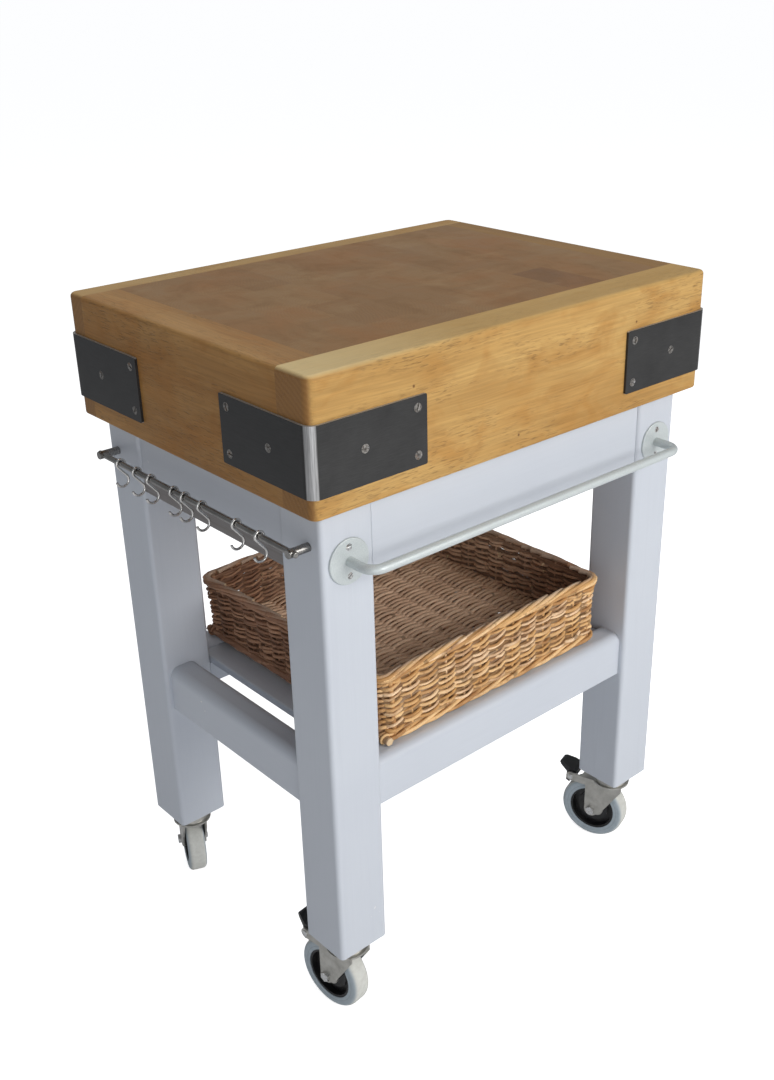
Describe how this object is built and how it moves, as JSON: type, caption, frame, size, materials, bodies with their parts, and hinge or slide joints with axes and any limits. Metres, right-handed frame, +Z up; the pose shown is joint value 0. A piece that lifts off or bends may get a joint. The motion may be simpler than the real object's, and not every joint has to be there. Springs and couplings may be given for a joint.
{
  "type": "butcher block table",
  "caption": "Chopping block on a painted wooden trolley frame with steel corner straps, towel rail, hook rail, willow basket on a slatted shelf and braked castors",
  "frame": {"origin": "on the floor under the middle of the block", "axes": "+X along the block's length, -Y the towel rail's side, -X the utensil rail's side, +Z up"},
  "size_m": [0.6234, 0.507, 0.853],
  "materials": {
    "end_grain": "oiled end-grain hardwood, darker than the border",
    "border_wood": "oiled honey-coloured hardwood, satin",
    "bracket_steel": "dark gunmetal lacquer on steel, bright at the bend",
    "screw_steel": "dull zinc-plated steel",
    "painted_wood": "pale grey satin paint on wood",
    "silver_paint": "silver-grey satin coating on steel",
    "polished_steel": "polished stainless steel",
    "willow": "buff willow, natural",
    "zinc_steel": "zinc-plated pressed steel",
    "bolt_steel": "bright zinc-plated steel",
    "wheel_plastic": "black moulded plastic",
    "tyre_rubber": "grey non-marking rubber",
    "pedal_plastic": "black moulded plastic"
  },
  "bodies": {
    "root": {"back_apron": "painted_wood", "back_border_board": "border_wood", "back_stretcher": "painted_wood", "bracket_screws": "screw_steel", "castor_stems": "zinc_steel", "corner_bracket_back_left": "bracket_steel", "corner_bracket_back_right": "bracket_steel", "corner_bracket_front_left": "bracket_steel", "corner_bracket_front_right": "bracket_steel", "end_grain_core": "end_grain", "front_apron": "painted_wood", "front_border_board": "border_wood", "front_stretcher": "painted_wood", "left_apron": "painted_wood", "left_border_board": "border_wood", "left_stretcher": "painted_wood", "leg_back_left": "painted_wood", "leg_back_right": "painted_wood", "leg_front_left": "painted_wood", "leg_front_right": "painted_wood", "right_apron": "painted_wood", "right_border_board": "border_wood", "right_stretcher": "painted_wood", "shelf_cleats": "painted_wood", "shelf_slats": "painted_wood", "slat_screws": "screw_steel", "towel_rail": "silver_paint", "towel_rail_flanges": "silver_paint", "towel_rail_screws": "screw_steel", "utensil_rail": "polished_steel", "utensil_rail_posts": "polished_steel"},
    "swivel_front_left": {"castor_fork_front_left": "zinc_steel", "castor_bolts_front_left": "bolt_steel"},
    "wheel_front_left": {"wheel_centre_front_left": "wheel_plastic", "tyre_front_left": "tyre_rubber"},
    "brake_front_left": {"brake_pedal_front_left": "pedal_plastic"},
    "swivel_front_right": {"castor_fork_front_right": "zinc_steel", "castor_bolts_front_right": "bolt_steel"},
    "wheel_front_right": {"wheel_centre_front_right": "wheel_plastic", "tyre_front_right": "tyre_rubber"},
    "brake_front_right": {"brake_pedal_front_right": "pedal_plastic"},
    "swivel_back_left": {"castor_fork_back_left": "zinc_steel", "castor_bolts_back_left": "bolt_steel"},
    "wheel_back_left": {"wheel_centre_back_left": "wheel_plastic", "tyre_back_left": "tyre_rubber"},
    "brake_back_left": {"brake_pedal_back_left": "pedal_plastic"},
    "swivel_back_right": {"castor_fork_back_right": "zinc_steel", "castor_bolts_back_right": "bolt_steel"},
    "wheel_back_right": {"wheel_centre_back_right": "wheel_plastic", "tyre_back_right": "tyre_rubber"},
    "brake_back_right": {"brake_pedal_back_right": "pedal_plastic"},
    "hook_1": {"s_hook_1": "polished_steel"},
    "hook_2": {"s_hook_2": "polished_steel"},
    "hook_3": {"s_hook_3": "polished_steel"},
    "hook_4": {"s_hook_4": "polished_steel"},
    "hook_5": {"s_hook_5": "polished_steel"},
    "hook_6": {"s_hook_6": "polished_steel"},
    "hook_7": {"s_hook_7": "polished_steel"},
    "hook_8": {"s_hook_8": "polished_steel"},
    "basket": {"basket": "willow"}
  },
  "joints": [
    {"name": "castor_swivel_front_left", "type": "hinge", "parent": "root", "child": "swivel_front_left", "pos_m": [-0.25, -0.175, 0.11], "axis": [0, 0, 1], "continuous": true},
    {"name": "wheel_spin_front_left", "type": "hinge", "parent": "swivel_front_left", "child": "wheel_front_left", "pos_m": [-0.2528, -0.15217, 0.048], "axis": [-0.9925, -0.1219, 0], "continuous": true},
    {"name": "brake_pedal_front_left", "type": "hinge", "parent": "swivel_front_left", "child": "brake_front_left", "pos_m": [-0.25696, -0.1183, 0.09674], "axis": [-0.9925, -0.1219, 0], "range_deg": [0, 12]},
    {"name": "castor_swivel_front_right", "type": "hinge", "parent": "root", "child": "swivel_front_right", "pos_m": [0.25, -0.175, 0.11], "axis": [0, 0, 1], "continuous": true},
    {"name": "wheel_spin_front_right", "type": "hinge", "parent": "swivel_front_right", "child": "wheel_front_right", "pos_m": [0.24289, -0.15313, 0.048], "axis": [-0.9511, -0.309, 0], "continuous": true},
    {"name": "brake_pedal_front_right", "type": "hinge", "parent": "swivel_front_right", "child": "brake_front_right", "pos_m": [0.23235, -0.12067, 0.09674], "axis": [-0.9511, -0.309, 0], "range_deg": [0, 12]},
    {"name": "castor_swivel_back_left", "type": "hinge", "parent": "root", "child": "swivel_back_left", "pos_m": [-0.25, 0.175, 0.11], "axis": [0, 0, 1], "continuous": true},
    {"name": "wheel_spin_back_left", "type": "hinge", "parent": "swivel_back_left", "child": "wheel_back_left", "pos_m": [-0.24101, 0.19617, 0.048], "axis": [-0.9205, 0.3907, 0], "continuous": true},
    {"name": "brake_pedal_back_left", "type": "hinge", "parent": "swivel_back_left", "child": "brake_back_left", "pos_m": [-0.22768, 0.22759, 0.09674], "axis": [-0.9205, 0.3907, 0], "range_deg": [0, 12]},
    {"name": "castor_swivel_back_right", "type": "hinge", "parent": "root", "child": "swivel_back_right", "pos_m": [0.25, 0.175, 0.11], "axis": [0, 0, 1], "continuous": true},
    {"name": "wheel_spin_back_right", "type": "hinge", "parent": "swivel_back_right", "child": "wheel_back_right", "pos_m": [0.25478, 0.1975, 0.048], "axis": [-0.9781, 0.2079, 0], "continuous": true},
    {"name": "brake_pedal_back_right", "type": "hinge", "parent": "swivel_back_right", "child": "brake_back_right", "pos_m": [0.26188, 0.23088, 0.09674], "axis": [-0.9781, 0.2079, 0], "range_deg": [0, 12]},
    {"name": "hook_swing_1", "type": "hinge", "parent": "root", "child": "hook_1", "pos_m": [-0.306, 0.1482, 0.661], "axis": [0, 1, 0], "range_deg": [-25, 60]},
    {"name": "hook_swing_2", "type": "hinge", "parent": "root", "child": "hook_2", "pos_m": [-0.306, 0.11115, 0.661], "axis": [0, 1, 0], "range_deg": [-25, 60]},
    {"name": "hook_swing_3", "type": "hinge", "parent": "root", "child": "hook_3", "pos_m": [-0.306, 0.0798, 0.661], "axis": [0, 1, 0], "range_deg": [-25, 60]},
    {"name": "hook_swing_4", "type": "hinge", "parent": "root", "child": "hook_4", "pos_m": [-0.306, 0.03097, 0.661], "axis": [0, 1, 0], "range_deg": [-25, 60]},
    {"name": "hook_swing_5", "type": "hinge", "parent": "root", "child": "hook_5", "pos_m": [-0.306, 0.00798, 0.661], "axis": [0, 1, 0], "range_deg": [-25, 60]},
    {"name": "hook_swing_6", "type": "hinge", "parent": "root", "child": "hook_6", "pos_m": [-0.306, -0.02603, 0.661], "axis": [0, 1, 0], "range_deg": [-25, 60]},
    {"name": "hook_swing_7", "type": "hinge", "parent": "root", "child": "hook_7", "pos_m": [-0.306, -0.09196, 0.661], "axis": [0, 1, 0], "range_deg": [-25, 60]},
    {"name": "hook_swing_8", "type": "hinge", "parent": "root", "child": "hook_8", "pos_m": [-0.306, -0.13395, 0.661], "axis": [0, 1, 0], "range_deg": [-25, 60]},
    {"name": "basket_slide", "type": "slide", "parent": "root", "child": "basket", "axis": [0, -1, 0], "range_m": [0, 0.17]}
  ]
}
